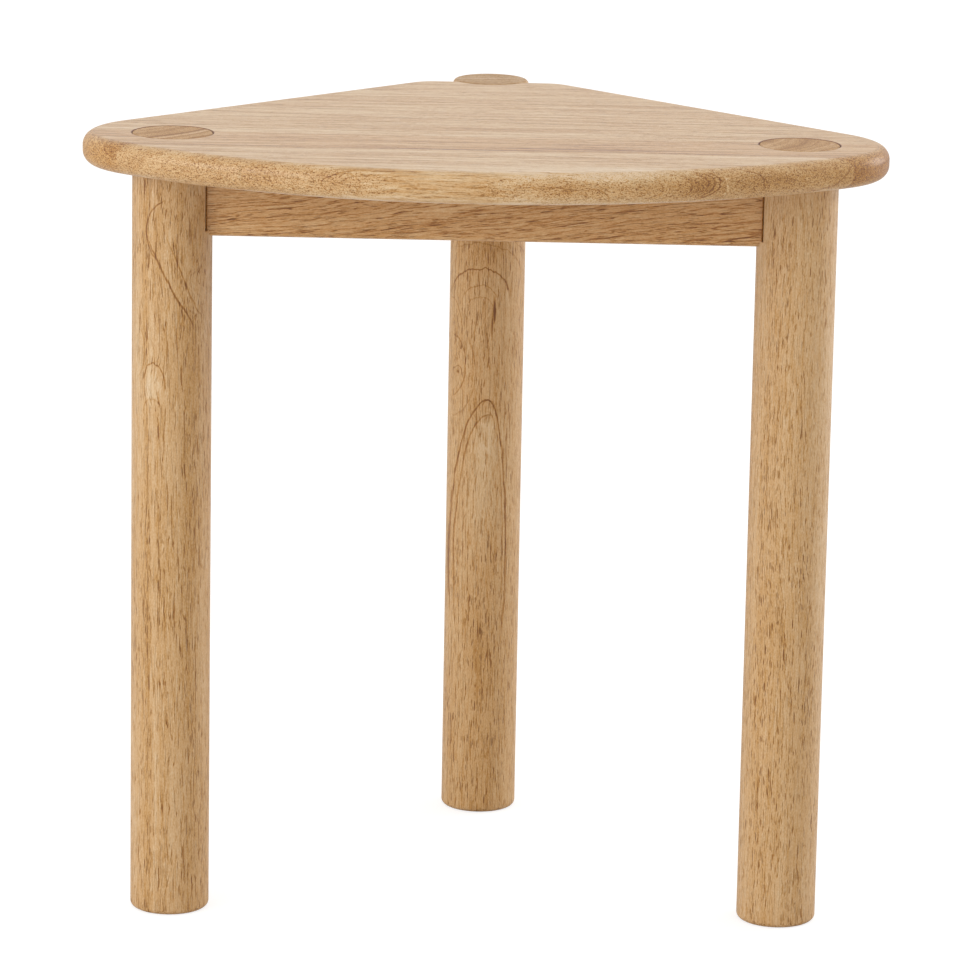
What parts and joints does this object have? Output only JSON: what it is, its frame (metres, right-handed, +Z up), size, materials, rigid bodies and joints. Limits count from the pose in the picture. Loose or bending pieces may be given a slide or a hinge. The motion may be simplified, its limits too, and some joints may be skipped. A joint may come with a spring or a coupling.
{
  "type": "side table",
  "caption": "Timber side table with a rounded triangular top on round legs that come up flush through it, tied by rails under the top.",
  "frame": {"origin": "on the floor, in the middle of the table's length and depth", "axes": "+X to the right along the curved front, +Y from the curved front towards the back leg, +Z up"},
  "size_m": [0.5, 0.392, 0.5],
  "materials": {
    "top_wood": "clear satin lacquer on pale timber",
    "leg_wood": "clear satin lacquer on pale timber",
    "rail_wood": "clear satin lacquer on pale timber",
    "dowel_wood": "bare beech",
    "screw_steel": "zinc plated"
  },
  "bodies": {
    "root": {"top_board_1": "top_wood", "top_board_2": "top_wood", "top_board_3": "top_wood", "top_board_4": "top_wood", "top_board_5": "top_wood", "top_board_6": "top_wood", "top_board_7": "top_wood", "top_board_8": "top_wood", "leg_front_left": "leg_wood", "leg_front_right": "leg_wood", "leg_back": "leg_wood", "rail_front": "rail_wood", "rail_left": "rail_wood", "rail_right": "rail_wood", "dowel_front_rail_at_front_left_leg_lower": "dowel_wood", "dowel_front_rail_at_front_left_leg_upper": "dowel_wood", "dowel_front_rail_at_front_right_leg_lower": "dowel_wood", "dowel_front_rail_at_front_right_leg_upper": "dowel_wood", "dowel_left_rail_at_front_left_leg_lower": "dowel_wood", "dowel_left_rail_at_front_left_leg_upper": "dowel_wood", "dowel_left_rail_at_back_leg_lower": "dowel_wood", "dowel_left_rail_at_back_leg_upper": "dowel_wood", "dowel_right_rail_at_front_right_leg_lower": "dowel_wood", "dowel_right_rail_at_front_right_leg_upper": "dowel_wood", "dowel_right_rail_at_back_leg_lower": "dowel_wood", "dowel_right_rail_at_back_leg_upper": "dowel_wood", "screw_front_rail_1": "screw_steel", "screw_front_rail_2": "screw_steel", "screw_left_rail_1": "screw_steel", "screw_left_rail_2": "screw_steel", "screw_right_rail_1": "screw_steel", "screw_right_rail_2": "screw_steel"}
  },
  "joints": []
}
